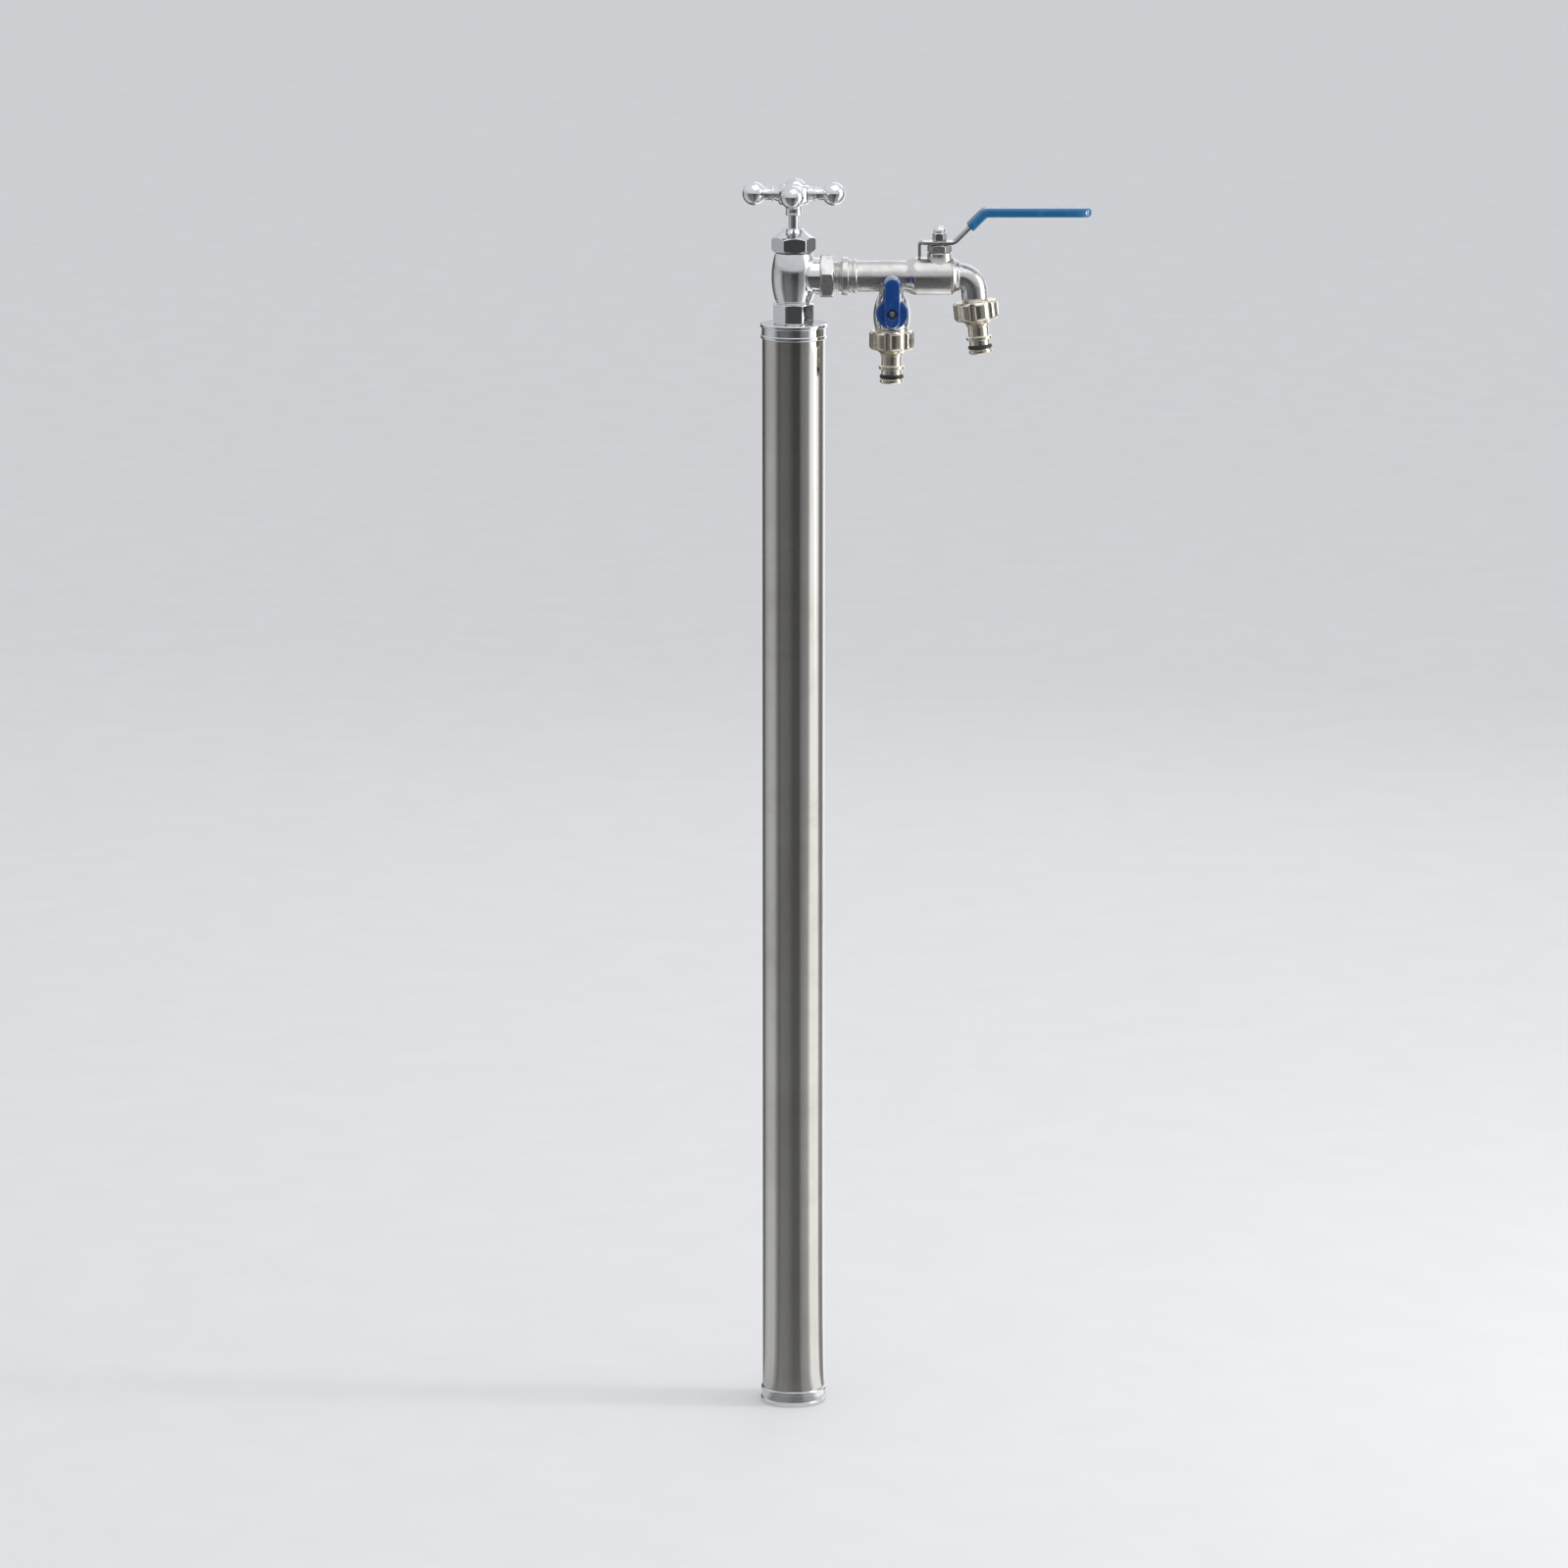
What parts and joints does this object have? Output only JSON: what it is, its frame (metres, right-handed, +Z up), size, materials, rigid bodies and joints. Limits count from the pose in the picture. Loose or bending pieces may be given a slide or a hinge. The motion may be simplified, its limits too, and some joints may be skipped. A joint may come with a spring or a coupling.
{
  "type": "garden standpipe",
  "caption": "Free-standing garden water post: polished tube with a screw-down stop valve on top and a side manifold with ball valves, hose nuts and push-on spigots.",
  "frame": {"origin": "centre of the foot on the ground plane, at the mouth of the supply thread", "axes": "+Z up along the post, +X along the side manifold towards the bent spout, -Y towards the viewer, where the front valve's wing handle faces"},
  "size_m": [0.2765, 0.0824, 0.9962],
  "materials": {
    "polished_steel": "polished",
    "chrome_trim": "polished",
    "satin_nickel": "satin",
    "warm_nickel": "satin, warm tint",
    "brass_inner": "machined",
    "plain_steel": "zinc plated",
    "seal_rubber": "matt",
    "seat_plastic": "matt white",
    "blue_sleeve": "soft vinyl sheen",
    "blue_wing": "gloss"
  },
  "bodies": {
    "post_body": {"base_collar": "chrome_trim", "post_tube": "polished_steel", "top_collar": "chrome_trim", "inlet_socket": "brass_inner", "inlet_gasket": "seal_rubber", "inlet_locknut": "brass_inner", "riser_pipe": "plain_steel", "riser_spacer_1": "seat_plastic", "riser_spacer_2": "seat_plastic", "top_nipple": "brass_inner", "top_gasket": "seal_rubber", "valve_body": "chrome_trim", "bonnet_gasket": "seal_rubber", "bonnet": "chrome_trim", "arm_lock_nut": "satin_nickel", "arm_ring": "satin_nickel", "arm_manifold": "satin_nickel", "end_seat_inlet": "seat_plastic", "end_seat_outlet": "seat_plastic", "end_packing": "seat_plastic", "end_gland_nut": "satin_nickel", "end_spout": "satin_nickel", "front_valve_body": "chrome_trim", "front_tail": "satin_nickel", "front_seat_inlet": "seat_plastic", "front_seat_outlet": "seat_plastic", "front_packing": "seat_plastic", "front_gland_nut": "satin_nickel", "end_hose_nut": "warm_nickel", "end_hose_gasket": "seal_rubber", "end_spigot_flange": "warm_nickel", "end_hose_spigot": "warm_nickel", "end_spigot_oring": "seal_rubber", "front_hose_nut": "warm_nickel", "front_hose_gasket": "seal_rubber", "front_spigot_flange": "warm_nickel", "front_hose_spigot": "warm_nickel", "front_spigot_oring": "seal_rubber"},
    "stop_plug": {"jumper": "brass_inner", "tap_washer": "seal_rubber", "washer_nut": "brass_inner"},
    "stop_spindle": {"spindle": "chrome_trim", "spindle_oring": "seal_rubber", "handle_hub": "chrome_trim", "handle_arm_1": "chrome_trim", "handle_arm_2": "chrome_trim", "handle_arm_3": "chrome_trim", "handle_arm_4": "chrome_trim", "handle_screw": "plain_steel", "handle_cap": "chrome_trim"},
    "end_valve_lever": {"end_ball": "brass_inner", "end_stem": "brass_inner", "end_lever": "plain_steel", "end_lever_sleeve": "blue_sleeve", "end_acorn_nut": "chrome_trim"},
    "front_valve_wing": {"front_ball": "brass_inner", "front_stem": "brass_inner", "front_handle": "blue_wing", "front_handle_screw": "plain_steel"}
  },
  "joints": [
    {"name": "plug_lift", "type": "slide", "parent": "post_body", "child": "stop_plug", "axis": [0, 0, 1], "range_m": [0, 0.005]},
    {"name": "handle_turn", "type": "hinge", "parent": "stop_plug", "child": "stop_spindle", "pos_m": [0, 0, 0.9216], "axis": [0, 0, 1], "range_deg": [0, 720]},
    {"name": "end_lever_turn", "type": "hinge", "parent": "post_body", "child": "end_valve_lever", "pos_m": [0.1154, 0, 0.9216], "axis": [0, 0, 1], "range_deg": [-90, 0]},
    {"name": "front_wing_turn", "type": "hinge", "parent": "post_body", "child": "front_valve_wing", "pos_m": [0.0777, -0.004, 0.8957], "axis": [0, 1, 0], "range_deg": [0, 90]}
  ],
  "couplings": [
    {"joint": "plug_lift", "follows": "handle_turn", "m_per_rad": 0.00039789}
  ]
}
